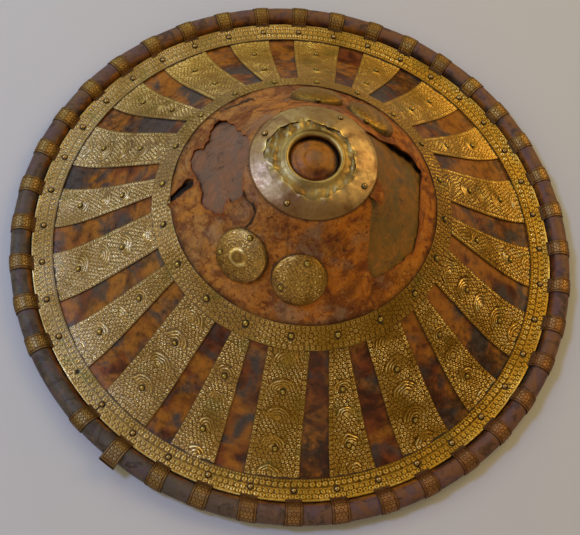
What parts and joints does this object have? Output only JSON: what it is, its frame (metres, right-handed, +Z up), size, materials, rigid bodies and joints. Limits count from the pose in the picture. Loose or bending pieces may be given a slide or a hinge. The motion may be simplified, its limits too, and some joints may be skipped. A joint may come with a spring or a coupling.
{
  "type": "round ceremonial shield",
  "caption": "Round domed hide shield with a rolled rim, faced with embossed brass bands and strips, worn leather round the crown, small discs and a knob.",
  "frame": {"origin": "centre of the rim, on the plane of the rim's underside", "axes": "+Z up along the shield's axis through the knob; the torn leather's two patches lie to -X and +X, and -Y is the side nearest the viewer in the picture"},
  "size_m": [0.5046, 0.5046, 0.1565],
  "materials": {
    "hide": "smooth dark hide, mottled and polished by handling",
    "facing": "thin orange-brown leather, dry, cracked and torn",
    "embossed_brass": "embossed thin sheet, tarnished olive gold",
    "collar_brass": "plain sheet, smooth, dark tarnish",
    "gilt_brass": "smooth, greenish gold",
    "grip_leather": "thick dark hide, plain"
  },
  "bodies": {
    "root": {"hide_body": "hide", "leather_facing": "facing", "outer_band_1": "embossed_brass", "outer_band_2": "embossed_brass", "outer_band_3": "embossed_brass", "outer_band_4": "embossed_brass", "inner_band_1": "embossed_brass", "inner_band_2": "embossed_brass", "wide_strip_1": "embossed_brass", "wide_strip_2": "embossed_brass", "wide_strip_3": "embossed_brass", "wide_strip_4": "embossed_brass", "wide_strip_5": "embossed_brass", "wide_strip_6": "embossed_brass", "wide_strip_7": "embossed_brass", "wide_strip_8": "embossed_brass", "wide_strip_9": "embossed_brass", "wide_strip_10": "embossed_brass", "narrow_strip_1": "embossed_brass", "narrow_strip_2": "embossed_brass", "narrow_strip_3": "embossed_brass", "narrow_strip_4": "embossed_brass", "narrow_strip_5": "embossed_brass", "narrow_strip_6": "embossed_brass", "narrow_strip_7": "embossed_brass", "narrow_strip_8": "embossed_brass", "narrow_strip_9": "embossed_brass", "narrow_strip_10": "embossed_brass", "disc_1": "embossed_brass", "disc_2": "embossed_brass", "disc_3": "embossed_brass", "disc_4": "embossed_brass", "collar": "collar_brass", "crown_ring": "gilt_brass", "grip": "grip_leather"}
  },
  "joints": []
}
